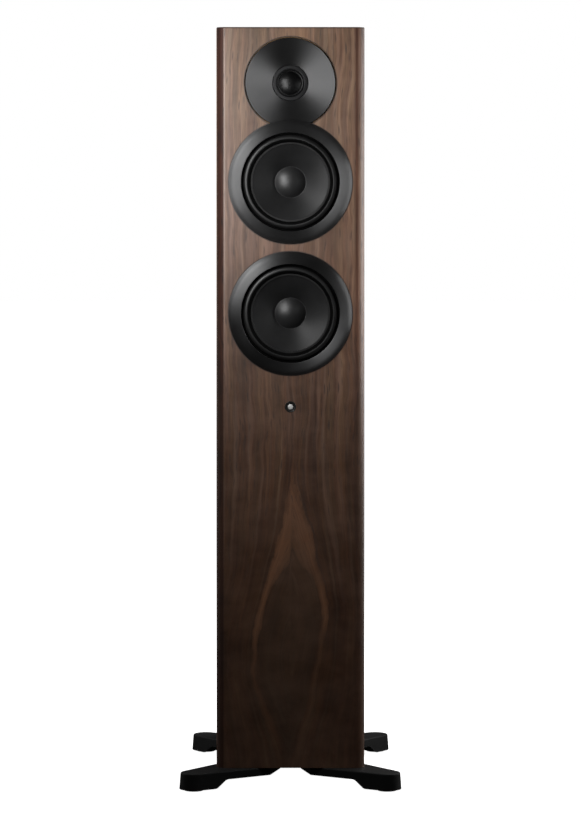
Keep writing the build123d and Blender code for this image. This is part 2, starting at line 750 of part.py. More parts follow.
def wire(*points):
    """One insulated wire: straight runs between (x, depth, z) points, joined by wide arcs."""
    spots = [Vector(x, FACE_Y + depth, z) for x, depth, z in points]
    lengths = [(after - before).length for before, after in zip(spots, spots[1:])]
    lengths[0], lengths[-1] = 2 * lengths[0] - 4, 2 * lengths[-1] - 4
    radii = []
    for k in range(1, len(spots) - 1):
        turn = (spots[k] - spots[k - 1]).get_angle(spots[k + 1] - spots[k])
        room = 0.48 * min(lengths[k - 1], lengths[k])
        radii.append(room / tan(radians(turn / 2)))
    path = FilletPolyline(*spots, radius=radii)
    start = Plane(origin=path @ 0, z_dir=path % 0)
    return sweep(start * Circle(WIRE_R), path=path)


def push_on(x, depth, z):
    """Sleeved connector on the end of a wire, pushed onto a tag from behind."""
    return slab(x - 2.6, x + 2.6, depth, depth + CONNECTOR_T, z - 1.6, z + 1.6)


def driver_lead(x, depth, z, lane_x):
    """Wire from a driver's tag: back, down the middle of the cabinet, back to the board."""
    start = depth + CONNECTOR_T
    entry_z = BOARD_HIGH - 7
    return wire(
        (x, start, z),
        (x, start + 24, z),
        (lane_x, LANE_DEPTH, z - 62),
        (lane_x, LANE_DEPTH, entry_z + 58),
        (lane_x, BOARD_DEPTH - 38, entry_z),
        (lane_x, BOARD_DEPTH, entry_z),
    )


def terminal_lead(side):
    """Wire from a binding post: forwards, up past the lowest brace, back to the board."""
    start = CUP_FLOOR - 3 - POST_TAIL - 6 - CONNECTOR_T
    x, entry_x, entry_z = side * POST_X, side * 17, BOARD_LOW + 6
    return wire(
        (x, start, TERMINAL_Z),
        (x, start - 30, TERMINAL_Z),
        (entry_x, start - 30, entry_z),
        (entry_x, BOARD_DEPTH, entry_z),
    )


def build_wiring():
    """Leads between the crossover, the drivers and the terminals, with their connectors."""
    solids = []
    half_pair, tag_x, tag_depth = 4.0, 51.0, 34.0
    lanes = {"upper": 26.0, "lower": 40.0}
    dome_tag_depth = PLATE_DEPTH + PLATE_T + TWEETER_MAGNET_T + 25
    for side in (-1, 1):
        for name, lane_x in lanes.items():
            z = WOOFER_Z[name] + side * half_pair
            solids.append(push_on(tag_x, tag_depth, z))
            solids.append(driver_lead(tag_x, tag_depth, z, lane_x + side * 2))
        z = TWEETER_Z + 6
        solids.append(push_on(side * 6, dome_tag_depth, z))
        solids.append(driver_lead(side * 6, dome_tag_depth, z, side * 4))
        post_end = CUP_FLOOR - 3 - POST_TAIL - 6
        solids.append(push_on(side * POST_X, post_end - CONNECTOR_T, TERMINAL_Z))
        solids.append(terminal_lead(side))
    parts["wiring"] = join(solids)


# ---------------------------------------------------------------- feet
FOOT_SCREWS = ((93.0, 0.0), (119.0, 0.0))  # along and across the arm
FOOT_SCREW_R, FOOT_SCREW_HEAD_R, FOOT_SCREW_GRIP = 3.0, 5.0, 15.0
FOOT_BORE_DEPTH = 5.0
STUD_TOP, STUD_FOOT = 18.0, 1.2


def foot_layout():
    """Each foot as (side, place of its round end, direction of travel front to back)."""
    return [
        (-1, FOOT_FRONT, 1),
        (1, FOOT_FRONT, 1),
        (-1, FOOT_REAR, -1),
        (1, FOOT_REAR, -1),
    ]


def foot_location(side, place, direction):
    """Where a foot's own frame sits: origin at its round end, +X inwards along the arm."""
    turn = direction * FOOT_ANGLE
    heading = turn if side < 0 else 180 - turn
    return Pos(side * place[0], FACE_Y + place[1], 0) * Rot(0, 0, heading)


def foot_casting():
    """Outrigger arm: deep round end over the glide, thin tapering root under the cabinet."""
    spread = radians(FOOT_SPREAD)
    end_x, end_y = -FOOT_END_R * sin(spread), FOOT_END_R * cos(spread)
    shoulder_x, tip_half = 93.0, 7.0
    shoulder_y = end_y + (shoulder_x - end_x) * tan(spread)
    plan = section(
        (end_x, -end_y),
        (shoulder_x, -shoulder_y),
        (FOOT_LENGTH, -tip_half),
        (FOOT_LENGTH, tip_half),
        (shoulder_x, shoulder_y),
        (end_x, end_y),
        ((-FOOT_END_R, 0), (end_x, -end_y)),
    )
    draft = 4.3
    casting = extrude(Pos(0, 0, FLOOR_GAP) * plan, FLOOR_GAP, dir=(0, 0, -1), taper=-draft)

    block_end, arm_start, far = 18.5, 32.5, FOOT_LENGTH + 20
    arm_low = FLOOR_GAP - ARM_T
    underside = FilletPolyline(
        (-40, ARM_CLEARANCE), (block_end, ARM_CLEARANCE), (arm_start, arm_low), (far, arm_low),
        radius=[7.0, 9.0],
    )
    closing = Polyline((far, arm_low), (far, -20), (-40, -20), (-40, ARM_CLEARANCE))
    cutter = Rot(90, 0, 0) * make_face([*underside.edges(), *closing.edges()])
    casting -= Pos(0, 80, 0) * extrude(cutter, 160, dir=(0, -1, 0))

    top_edges = casting.edges().filter_by_position(Axis.Z, FLOOR_GAP - 0.01, FLOOR_GAP + 0.01)
    casting = fillet(top_edges, 1.8)

    casting -= Pos(0, 0, ARM_CLEARANCE) * Cylinder(GLIDE_R + 0.7, 2 * (GLIDE_T - 1.4))
    casting -= Pos(0, 0, STUD_TOP / 2 + 0.5) * Cylinder(LEVEL_STUD_R + RUNNING_FIT, STUD_TOP + 1)
    for along, across in FOOT_SCREWS:
        casting -= Pos(along, across, arm_low) * Cylinder(
            FOOT_SCREW_HEAD_R + 0.3, 2 * FOOT_BORE_DEPTH
        )
        casting -= Pos(along, across, arm_low) * Cylinder(FOOT_SCREW_R + 0.3, 4 * ARM_T)
    return casting


def level_stud():
    """Threaded stud: a small flange turns in the glide, a hex socket takes the key."""
    stud = Pos(0, 0, (STUD_TOP + STUD_FOOT) / 2) * Cylinder(LEVEL_STUD_R, STUD_TOP - STUD_FOOT)
    stud += Pos(0, 0, STUD_FOOT + 0.9) * Cylinder(6.0, 1.8)
    stud -= Pos(0, 0, STUD_FOOT) * extrude(RegularPolygon(2.3, 6), 4.5)
    return chamfer(stud.edges().filter_by_position(Axis.Z, STUD_TOP - 0.1, STUD_TOP + 0.1), 0.6)


def glide():
    """Rubber foot with a captive pocket for the stud's flange."""
    outline = section(
        (3.6, 0),
        (GLIDE_R - 1.0, 0),
        (GLIDE_R, 1.0),
        (GLIDE_R, GLIDE_T),
        (LEVEL_STUD_R + 0.3, GLIDE_T),
        (LEVEL_STUD_R + 0.3, 3.3),
        (6.3, 3.3),
        (6.3, 0.9),
        (3.6, 0.9),
    )
    return revolve(Rot(90, 0, 0) * outline, axis=Axis.Z)


def foot_screw():
    arm_low = FLOOR_GAP - ARM_T
    head_low = arm_low + FOOT_BORE_DEPTH - 4.0
    head = Pos(0, 0, head_low + 2.0) * Cylinder(FOOT_SCREW_HEAD_R, 4.0)
    top = FLOOR_GAP + FOOT_SCREW_GRIP - 1.0
    low = head_low + 4.0
    shank = Pos(0, 0, (low + top) / 2) * Cylinder(FOOT_SCREW_R, top - low)
    socket = Pos(0, 0, head_low) * extrude(RegularPolygon(2.9, 6), 2.4)
    return head + shank - socket


def build_feet():
    casting, stud, pad, screw = foot_casting(), level_stud(), glide(), foot_screw()
    screws = []
    for side, place, direction in foot_layout():
        name = ("front" if direction > 0 else "rear") + ("_left" if side < 0 else "_right")
        spot = foot_location(side, place, direction)
        parts[f"{name}_foot"] = spot * casting
        parts[f"{name}_level_stud"] = spot * stud
        parts[f"{name}_glide"] = spot * pad
        for along, across in FOOT_SCREWS:
            screws.append(spot * Pos(along, across, 0) * screw)
    parts["foot_screws"] = join(screws)


# ---------------------------------------------------------------- build and write
def main():
    build_cabinet()
    build_badge()
    build_woofers()
    build_tweeter()
    build_gaskets()
    build_port()
    build_terminals()
    build_crossover()
    build_wiring()
    build_feet()
    os.makedirs("parts", exist_ok=True)
    for name, shape in parts.items():
        export_step(shape, f"parts/{name}.step")
    print(len(parts), "nodes")


main()
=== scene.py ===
"""Slim walnut floorstanding loudspeaker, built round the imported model. Metres, +Z up, front to -Y."""
from math import atan2, cos, hypot, pi, radians, sin

import bmesh
import bpy
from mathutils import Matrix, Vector


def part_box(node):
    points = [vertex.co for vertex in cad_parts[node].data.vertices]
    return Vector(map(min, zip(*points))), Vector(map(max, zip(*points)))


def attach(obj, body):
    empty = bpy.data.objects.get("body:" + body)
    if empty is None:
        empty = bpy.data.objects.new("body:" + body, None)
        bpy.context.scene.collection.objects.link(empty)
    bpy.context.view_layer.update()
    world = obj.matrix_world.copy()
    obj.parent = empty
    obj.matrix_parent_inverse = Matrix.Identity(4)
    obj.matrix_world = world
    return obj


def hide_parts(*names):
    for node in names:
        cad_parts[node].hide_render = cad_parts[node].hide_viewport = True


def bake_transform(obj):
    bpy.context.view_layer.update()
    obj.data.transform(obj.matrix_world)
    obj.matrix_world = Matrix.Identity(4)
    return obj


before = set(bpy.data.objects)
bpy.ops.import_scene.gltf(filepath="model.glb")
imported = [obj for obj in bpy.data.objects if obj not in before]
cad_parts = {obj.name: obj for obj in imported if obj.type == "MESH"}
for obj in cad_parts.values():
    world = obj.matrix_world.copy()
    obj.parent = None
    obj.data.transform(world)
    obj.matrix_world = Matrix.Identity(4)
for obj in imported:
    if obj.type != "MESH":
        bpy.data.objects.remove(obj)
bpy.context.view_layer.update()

MM = 0.001
PER_M = 1000  # millimetres in a metre
BODY = "cabinet"
CABINET_LOW, CABINET_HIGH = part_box("walnut_veneer")
FACE_Y = CABINET_LOW.y
TOP_Z = CABINET_HIGH.z


def centre_z(node):
    low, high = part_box(node)
    return (low.z + high.z) / 2


WOOFERS = {name: centre_z(f"{name}_woofer_trim_ring") for name in ("upper", "lower")}
TWEETER_Z = centre_z("tweeter_dome")
BADGE_Z = centre_z("badge")
RING_R = 75.5  # outer radius of the trim rings, in millimetres
PLATE_R = 56.1  # the same for the tweeter's face plate


# ---------------------------------------------------------------- shader nodes
class Nodes:
    """A material, and short names for the shader nodes that it is made of."""

    def __init__(self, name):
        self.material = bpy.data.materials.new(name)
        self.material.use_nodes = True
        self.tree = self.material.node_tree
        self.shader = self.tree.nodes["Principled BSDF"]
        self.place = self.tree.nodes.new("ShaderNodeTexCoord").outputs["Object"]

    def node(self, kind, **settings):
        made = self.tree.nodes.new(kind)
        for key, value in settings.items():
            setattr(made, key, value)
        return made

    def feed(self, socket, value):
        """Link a socket to the one given, or set its value."""
        if isinstance(value, bpy.types.NodeSocket):
            self.tree.links.new(value, socket)
            return
        if socket.type == "RGBA" and len(value) == 3:
            value = (*value, 1)
        socket.default_value = value

    def math(self, operation, a, b=0.0, clamp=False):
        made = self.node("ShaderNodeMath", operation=operation, use_clamp=clamp)
        for socket, value in zip(made.inputs, (a, b)):
            self.feed(socket, value)
        return made.outputs[0]

    def add(self, a, b):
        return self.math("ADD", a, b)

    def minus(self, a, b):
        return self.math("SUBTRACT", a, b)

    def times(self, a, b):
        return self.math("MULTIPLY", a, b)

    def over(self, a, b):
        return self.math("DIVIDE", a, b)

    def rest(self, share, clamp=False):
        return self.math("SUBTRACT", 1.0, share, clamp=clamp)

    def between(self, share, a, b):
        """The value a where share is 0, b where it is 1."""
        return self.add(self.times(b, share), self.times(a, self.rest(share)))

    def span(self, value, low, high, to_low=0.0, to_high=1.0, smooth=False):
        """The value's place from low to high, limited to them, as a number from to_low to to_high."""
        made = self.node("ShaderNodeMapRange", interpolation_type="SMOOTHSTEP" if smooth else "LINEAR")
        self.feed(made.inputs["Value"], value)
        self.feed(made.inputs["From Min"], low)
        self.feed(made.inputs["From Max"], high)
        self.feed(made.inputs["To Min"], to_low)
        self.feed(made.inputs["To Max"], to_high)
        return made.outputs[0]

    def split(self, vector):
        made = self.node("ShaderNodeSeparateXYZ")
        self.feed(made.inputs[0], vector)
        return made.outputs

    def join(self, x, y, z):
        made = self.node("ShaderNodeCombineXYZ")
        for socket, value in zip(made.inputs, (x, y, z)):
            self.feed(socket, value)
        return made.outputs[0]

    def radius(self, x, z):
        return self.math("SQRT", self.add(self.times(x, x), self.times(z, z)))

    def scaled(self, scale, vector=None):
        made = self.node("ShaderNodeMapping")
        self.feed(made.inputs["Vector"], self.place if vector is None else vector)
        made.inputs["Scale"].default_value = scale if isinstance(scale, tuple) else (scale,) * 3
        return made.outputs[0]

    def noise(self, scale, detail=3.0, rough=0.5, vector=None):
        made = self.node("ShaderNodeTexNoise")
        self.feed(made.inputs["Vector"], self.scaled(scale, vector))
        made.inputs["Scale"].default_value = 1.0
        made.inputs["Detail"].default_value = detail
        made.inputs["Roughness"].default_value = rough
        return made.outputs["Fac"]

    def cells(self, scale, vector=None, feature="F1"):
        made = self.node("ShaderNodeTexVoronoi", feature=feature)
        self.feed(made.inputs["Vector"], self.scaled(scale, vector))
        made.inputs["Scale"].default_value = 1.0
        return made.outputs["Distance"]

    def ramp(self, value, *stops):
        """Colour by value, through (place, colour) stops."""
        made = self.node("ShaderNodeValToRGB")
        self.feed(made.inputs[0], value)
        elements = made.color_ramp.elements
        while len(elements) < len(stops):
            elements.new(0.5)
        for element, (place, colour) in zip(elements, stops):
            element.position = place
            element.color = (*colour, 1)
        return made.outputs["Color"]

    def curve(self, value, full, tall, *points):
        """A smooth curve through (value, result) points: values from 0 to full, results from 0 to tall."""
        made = self.node("ShaderNodeFloatCurve")
        self.feed(made.inputs["Value"], self.over(value, full))
        line = made.mapping.curves[0]
        while len(line.points) < len(points):
            line.points.new(0.5, 0.5)
        for point, (at, result) in zip(line.points, points):
            point.location = (at / full, result / tall)
        made.mapping.update()
        return self.times(made.outputs[0], tall)

    def mix(self, share, a, b, blend="MIX"):
        made = self.node("ShaderNodeMix", data_type="RGBA", blend_type=blend)
        factor, colour_a, colour_b = made.inputs[0], made.inputs[6], made.inputs[7]
        self.feed(factor, share)
        self.feed(colour_a, a)
        self.feed(colour_b, b)
        return made.outputs[2]

    def tinted(self, share, colour, tint):
        """The colour multiplied by a tint, where share is 1."""
        return self.mix(share, colour, self.mix(1.0, colour, tint, "MULTIPLY"))

    def bump(self, height, distance):
        made = self.node("ShaderNodeBump")
        made.inputs["Strength"].default_value = 1.0
        made.inputs["Distance"].default_value = distance
        self.feed(made.inputs["Height"], height)
        return made.outputs[0]

    def edges(self, radius):
        """How far a bevelled normal leaves the true one: 1 along sharp edges, 0 on flats."""
        soft = self.node("ShaderNodeBevel", samples=4)
        soft.inputs["Radius"].default_value = radius
        true = self.node("ShaderNodeNewGeometry").outputs["Normal"]
        dot = self.node("ShaderNodeVectorMath", operation="DOT_PRODUCT")
        self.feed(dot.inputs[0], soft.outputs[0])
        self.feed(dot.inputs[1], true)
        return self.span(dot.outputs["Value"], 1.0, 0.85)

    def done(self, colour, rough, normal=None, **sockets):
        """Feed the shader; other sockets are named with _ for each space."""
        self.feed(self.shader.inputs["Base Color"], colour)
        self.feed(self.shader.inputs["Roughness"], rough)
        if normal is not None:
            self.feed(self.shader.inputs["Normal"], normal)
        for key, value in sockets.items():
            self.feed(self.shader.inputs[key.replace("_", " ")], value)
        return self.material


# ---------------------------------------------------------------- walnut
class Walnut(Nodes):
    """Straight-grained veneer that opens into a flame below the badge, under satin lacquer.

    Its places and sizes are in millimetres. z is the height, and on the top panel it also grows
    towards the front, so that the grain runs from front to back there.
    """

    SIDE_X = 89.6  # a face further than this from the middle is a side's
    FRONT_DEPTH = 40  # the front has its own figure this far back
    SIDE_GRAIN_AT = 310.0  # where in the noise the sides' grain starts, clear of the front's
    FLAME_TALL = 400.0
    FLAME_HALF = 60.0  # limit of the flame's half width
    BAND_THICK = 24.0  # limit of the pale band's thickness

    def __init__(self):
        super().__init__("walnut_veneer_material")
        self.x, self.y, height = (self.times(axis, PER_M) for axis in self.split(self.place))
        self.off_side = self.math("LESS_THAN", self.math("ABSOLUTE", self.x), self.SIDE_X)
        self.on_top = self.math("GREATER_THAN", height, TOP_Z * PER_M - 0.05)
        near_face = self.math("LESS_THAN", self.y, FACE_Y * PER_M + self.FRONT_DEPTH)
        self.on_front = self.times(near_face, self.times(self.off_side, self.rest(self.on_top)))
        self.z = self.minus(height, self.times(self.on_top, self.y))
        self.spot = self.join(self.x, self.y, self.z)
        self.bend_grain()
        # strength of the grain: weak low on the front, where the photo's wood is smooth
        low_front = self.span(self.z, 220.0, 430.0, 0.28, 1.0)
        self.vivid = self.math("MAXIMUM", low_front, self.span(self.on_front, 0.0, 1.0, 0.85, 0.0))
        self.narrow = self.fibres(1.9, 42, 3, 0.65)
        self.fine = self.fibres(0.6, 30, 3, 0.7)

    def bend_grain(self):
        """Work out line, a number that stays the same along a grain line, and what goes with it."""
        across = self.between(self.off_side, self.add(self.y, self.SIDE_GRAIN_AT), self.x)
        self.depth = self.times(self.rest(self.on_front), 3.7)  # off the front, another slice of the noise
        self.right = self.span(across, -1.5, 1.5)  # 0 on the left half, 1 on the right
        # the grain wanders and ripples to the left and right on its way up
        wander = self.span(self.noise((0.0022, 0.0022, 0.0030), 2, 0.5, self.spot), 0.2, 0.8, -7, 7)
        ripple = self.span(self.noise((0.014, 0.014, 0.012), 3, 0.5, self.spot), 0.2, 0.8, -4.2, 4.2)
        ripple = self.times(ripple, self.span(self.on_top, 0.0, 1.0, 1.0, 0.35))
        self.across = self.add(across, self.add(wander, ripple))
        self.bent = self.join(self.across, self.y, self.z)
        # grain lines part round a pointed, lopsided flame and close again under it: (height, half width)
        left = self.flame_curve(
            self.FLAME_HALF, (0, 0), (40, 12), (77, 26), (108, 37), (153, 46), (208, 40), (263, 24),
            (303, 11), (352, 2), (386, 0), (400, 0),
        )
        right = self.flame_curve(
            self.FLAME_HALF, (0, 0), (68, 17), (101, 28), (138, 32), (184, 36), (214, 39), (233, 36),
            (275, 26), (315, 14), (352, 6), (388, 0), (400, 0),
        )
        self.flame_edge = self.times(self.between(self.right, left, right), self.on_front)
        off = self.math("ABSOLUTE", self.across)
        fade = self.math("EXPONENT", self.over(self.minus(self.flame_edge, off), 40.0))
        self.line = self.minus(off, self.times(self.flame_edge, fade))
        self.half = self.math("TANH", self.over(self.across, 5.0))  # -1 on the left half, 1 on the right

    def flame_curve(self, tall, *points):
        """A curve over the flame's height, through (height, result) points."""
        return self.curve(self.z, self.FLAME_TALL, tall, *points)

    def fibres(self, width, length, detail=3, rough=0.6):
        """Long streaks that follow the grain lines."""
        layer = self.add(self.times(self.half, 0.9), self.depth)
        vector = self.join(self.over(self.line, width), layer, self.over(self.z, length))
        return self.noise(1.0, detail, rough, vector)

    def figure(self):
        """Colour of the broad, middle and narrow grain; low on the front the broad grain is a mottle."""
        mottle = self.noise((0.045, 0.045, 0.022), 4, 0.6, self.bent)
        broad = self.between(self.vivid, mottle, self.fibres(17, 420, 2, 0.5))
        slim = self.add(self.times(self.fibres(4.6, 110), 0.34), self.times(self.narrow, 0.26))
        slim = self.add(self.times(self.minus(slim, 0.30), self.vivid), 0.30)
        return self.ramp(
            self.add(self.times(broad, 0.40), slim),
            (0.38, (0.052, 0.020, 0.010)), (0.46, (0.106, 0.045, 0.023)),
            (0.53, (0.172, 0.079, 0.043)), (0.62, (0.285, 0.148, 0.088)),
        )

    def streaks(self, colour):
        """A painted shade by height for the light's fall-off down the front, then pale, dark and olive
        streaks.
        """
        # painted shade: the veneer is darkened below about 650 mm, most from 140 to 340 mm, and less off the
        # front
        painted_falloff_shade = self.curve(
            self.z, 910.0, 1.0,
            (0, 0.35), (60, 0.55), (140, 1), (340, 1), (420, 0.85), (520, 0.35), (650, 0), (910, 0),
        )
        painted_falloff_shade = self.times(painted_falloff_shade, self.span(self.on_front, 0.0, 1.0, 0.35, 1.0))
        colour = self.tinted(painted_falloff_shade, colour, (0.58, 0.50, 0.38))
        streak = self.fibres(8.5, 200, 2, 0.5)
        pale = self.times(self.span(streak, 0.50, 0.68), self.times(self.vivid, 0.34))
        colour = self.mix(pale, colour, (0.330, 0.205, 0.155))
        dark = self.times(self.span(streak, 0.48, 0.34), self.times(self.vivid, 0.36))
        colour = self.mix(dark, colour, (0.100, 0.062, 0.036))
        olive = self.span(self.fibres(9, 260, 2, 0.5), 0.42, 0.62, 0.0, 0.55)
        return self.tinted(olive, colour, (0.86, 1.02, 0.92))

    def flame(self, colour):
        """Heartwood inside the flame, a pale orange band along it and a dark line outside its right side."""
        inner = self.span(self.line, 3.0, -20.0, smooth=True)
        heart = self.times(inner, self.span(self.flame_edge, 1.0, 14.0))
        colour = self.mix(self.times(heart, 0.35), colour, (0.110, 0.066, 0.038))
        frayed = self.noise((0.045, 0.045, 0.020), 4, 0.65, self.spot)
        ragged = self.add(self.line, self.span(frayed, 0.25, 0.75, -6.5, 6.5))
        # how thick the band is on each side of the flame's edge, and how bright on each half
        outside = self.flame_curve(
            self.BAND_THICK, (0, 8), (60, 10), (110, 8), (150, 6.5), (215, 9), (290, 8), (340, 8),
            (366, 4), (382, 0.5), (400, 0.5),
        )
        inside = self.flame_curve(
            self.BAND_THICK, (0, 8), (60, 10), (110, 9), (150, 8), (215, 10), (255, 14), (285, 34),
            (350, 34), (376, 8), (400, 0.5),
        )
        thick = self.between(self.span(ragged, 0.5, -0.5), outside, inside)
        band = self.rest(self.over(self.math("ABSOLUTE", ragged), thick), clamp=True)
        left_glow = self.flame_curve(
            1.0, (0, 0), (40, 0.15), (90, 0.42), (135, 0.5), (175, 0.8), (200, 1), (300, 1), (345, 0.8),
            (372, 0.45), (392, 0), (400, 0),
        )
        right_glow = self.flame_curve(
            1.0, (0, 0), (60, 0.3), (130, 0.36), (183, 0.45), (205, 0.95), (230, 1), (255, 0.65), (300, 0.85),
            (345, 0.75), (372, 0.4), (392, 0), (400, 0),
        )
        glow = self.between(self.right, left_glow, right_glow)
        band = self.times(self.times(self.math("POWER", band, 0.6), glow), self.on_front)
        band = self.times(band, self.span(self.narrow, 0.25, 0.7, 0.45, 0.95))
        colour = self.mix(band, colour, (0.315, 0.142, 0.069))
        seam = self.rest(self.over(self.math("ABSOLUTE", self.add(ragged, -11.0)), 3.2), clamp=True)
        heights = self.times(self.span(self.z, 215.0, 285.0), self.span(self.z, 420.0, 385.0))
        seam = self.times(self.times(seam, self.right), self.times(heights, self.on_front))
        return self.mix(self.times(seam, 0.75), colour, (0.050, 0.026, 0.018))

    def fine_grain(self, colour):
        """Figure across the grain, fine fibres and short dark pores."""
        cross = self.noise((0.022, 0.02, 0.035), 3, 0.6, self.bent)
        colour = self.mix(self.span(cross, 0.35, 0.7, 0.0, 0.22), colour, (0.300, 0.175, 0.120))
        dark_fibre = self.times(self.span(self.fine, 0.42, 0.70, 0.0, 0.4), self.vivid)
        colour = self.mix(dark_fibre, colour, (0.075, 0.034, 0.020))
        layer = self.add(self.half, self.depth)
        ticks = self.cells(1.0, self.join(self.over(self.line, 3.2), layer, self.over(self.z, 26.0)))
        self.pore = self.times(self.span(ticks, 0.34, 0.16), self.span(self.narrow, 0.44, 0.54))
        return self.mix(self.times(self.pore, self.times(self.vivid, 0.8)), colour, (0.040, 0.020, 0.013))

    def lipped(self, colour):
        """Painted shade on the rounded edges: darker bands at the front corners and the top edge, most of all
        at the left corner.

        Between the corners the front is painted paler towards the top: painted light.
        """
        top = TOP_Z * PER_M
        # painted shade: a dark band along the top edge and bands on the rounded front corners, deeper higher
        # up
        top_edge = self.times(self.span(self.z, top - 1.9, top - 1.2), self.rest(self.on_top))
        left_corner = self.span(self.x, -80.8, -82.4)
        right_corner = self.times(self.span(self.x, 77.0, 80.0), self.span(self.x, 83.8, 81.6))
        corner = self.math("MAXIMUM", left_corner, right_corner)
        corner = self.times(corner, self.span(self.z, 200.0, 650.0, 0.25, 1.0))
        self.painted_edge_shade = self.math("MAXIMUM", self.times(corner, self.on_front), top_edge)
        colour = self.tinted(self.painted_edge_shade, colour, (0.44, 0.31, 0.26))
        # painted light: the middle of the front is brightened towards the top, where the lamps fall on it
        off_corners = self.span(self.math("ABSOLUTE", self.x), 84.0, 72.0)
        painted_light_paler = self.times(self.times(self.span(self.z, 600.0, 880.0), off_corners), self.on_front)
        colour = self.tinted(painted_light_paler, colour, (1.14, 1.25, 1.26))
        # painted shade: the left corner band is darkened and reddened further
        self.painted_left_corner_shade = self.times(left_corner, self.on_front)
        return self.tinted(self.painted_left_corner_shade, colour, (0.50, 0.34, 0.22))

    def driver_contact_shadows(self, colour):
        """A thin painted contact shadow where the front meets each driver."""
        drivers = [(TWEETER_Z, PLATE_R)] + [(woofer_z, RING_R) for woofer_z in WOOFERS.values()]
        for centre, edge in drivers:
            away = self.radius(self.x, self.minus(self.z, centre * PER_M))
            # painted shadow: a dark line just outside each driver's edge
            contact_shadow = self.times(self.span(away, edge + 1.5, edge + 0.4), self.on_front)
            colour = self.tinted(contact_shadow, colour, (0.22, 0.20, 0.20))
        return colour

    def finished(self):
        colour = self.figure()
        for layer in (self.streaks, self.flame, self.fine_grain, self.lipped, self.driver_contact_shadows):
            colour = layer(colour)
        height = self.add(self.times(self.fine, 0.3), self.times(self.pore, -0.9))
        duller = self.add(self.times(self.painted_edge_shade, 0.2), self.times(self.painted_left_corner_shade, 0.4))
        roughness = self.add(self.times(self.pore, 0.12), duller)
        roughness = self.add(self.span(self.fine, 0.3, 0.7, 0.40, 0.50), roughness)
        coat = self.span(self.painted_edge_shade, 0.0, 1.0, 0.9, 0.15)
        coat = self.times(coat, self.span(self.off_side, 0.0, 1.0, 0.5, 1.0))
        return self.done(colour, roughness, self.bump(height, 0.00004), Coat_Weight=coat, Coat_Roughness=0.42)


# ---------------------------------------------------------------- other materials
def times_each(colour, factor, plus=0.0):
    """A colour brighter or darker by a factor and a step."""
    return tuple(min(1, part * factor + plus) for part in colour)


def coated(name, dark, light, rough, grain_mm=0.35, grain_depth=0.02, wear=0.0, **sockets):
    """Painted or moulded surface: fine grain, slow patches of colour and gloss, rubbed edges."""
    n = Nodes(name)
    fine = n.noise(1 / (grain_mm * MM), 2, 0.6)
    slow = n.noise(38, 3, 0.55)
    dust = n.noise(900, 4, 0.7)
    colour = n.mix(n.span(slow, 0.3, 0.7), dark, light)
    colour = n.mix(n.span(dust, 0.62, 0.8, 0.0, 0.25), colour, times_each(light, 2.2, 0.01))
    if wear:
        rubbed = n.times(n.edges(0.0007), n.span(n.noise(260, 4, 0.6), 0.42, 0.62, 0.0, wear))
        colour = n.mix(rubbed, colour, times_each(light, 3, 0.05))
    patches = n.span(slow, 0.25, 0.75, rough - 0.05, rough + 0.05)
    roughness = n.add(patches, n.span(fine, 0.2, 0.8, -0.03, 0.03))
    return n.done(colour, roughness, n.bump(fine, grain_depth * MM), **sockets)


def metal(n, marks, dark, light, rough, metallic):
    """Metal whose tone and gloss follow fine marks, with duller patches."""
    slow = n.noise(60, 3, 0.5)
    colour = n.mix(n.span(marks, 0.3, 0.7), dark, light)
    colour = n.mix(n.span(slow, 0.55, 0.8, 0.0, 0.35), colour, times_each(dark, 0.6))
    along_marks = n.span(marks, 0.3, 0.7, rough - 0.06, rough + 0.06)
    roughness = n.add(along_marks, n.span(slow, 0.3, 0.8, -0.03, 0.06))
    return n.done(colour, roughness, n.bump(marks, 0.004 * MM), Metallic=metallic)


def scratched_metal(name, dark, light, rough, metallic=1.0):
    n = Nodes(name)
    return metal(n, n.noise((1200, 90, 1200), 4, 0.7), dark, light, rough, metallic)


def turned_metal(name, dark, light, rough, pitch_mm, axis_z, metallic):
    """Metal with lathe marks round the front-to-back axis at a height."""
    n = Nodes(name)
    x, y, z = n.split(n.place)
    radius = n.radius(x, n.minus(z, axis_z))
    marks = n.noise((1 / (pitch_mm * MM), 400, 1), 3, 0.7, n.join(radius, y, 0.0))
    return metal(n, marks, dark, light, rough, metallic)


def turned_black(name, dark, light, rough, anisotropy):
    """Satin black metal turned on a lathe: very fine circular grain round its front-to-back axis."""
    n = Nodes(name)
    fine = n.noise(2600, 2, 0.6)
    slow = n.noise(30, 3, 0.55)
    colour = n.mix(n.span(slow, 0.3, 0.7), dark, light)
    colour = n.mix(n.span(n.noise(1100, 3, 0.7), 0.66, 0.82, 0.0, 0.3), colour, times_each(light, 2.5))
    rim = n.times(n.edges(0.0006), n.span(n.noise(300, 4, 0.6), 0.45, 0.7, 0.0, 0.12))
    colour = n.mix(rim, colour, times_each(light, 4))
    patches = n.span(slow, 0.25, 0.75, rough - 0.03, rough + 0.03)
    roughness = n.add(patches, n.span(fine, 0.2, 0.8, -0.03, 0.03))
    tangent = n.node("ShaderNodeTangent", direction_type="RADIAL", axis="Y").outputs[0]
    n.feed(n.shader.inputs["Tangent"], tangent)
    return n.done(
        colour, roughness, n.bump(fine, 0.000006),
        Metallic=1.0, Anisotropic=anisotropy, Anisotropic_Rotation=0.25,
    )


def woven(name, dark, light, rough, pitch_mm, **sockets):
    """Impregnated cloth: crossing threads with a slow change of tone."""
    n = Nodes(name)
    x, _, z = n.split(n.place)
    turns = 2 * pi / (pitch_mm * MM)
    warp = n.math("SINE", n.times(x, turns))
    weft = n.math("SINE", n.times(z, turns))
    weave = n.times(n.add(n.times(warp, weft), 1.0), 0.5)
    slow = n.noise(120, 3, 0.5)
    colour = n.mix(n.add(n.times(weave, 0.5), n.times(slow, 0.5)), dark, light)
    roughness = n.span(slow, 0.2, 0.8, rough - 0.04, rough + 0.04)
    return n.done(colour, roughness, n.bump(weave, 0.00003), **sockets)


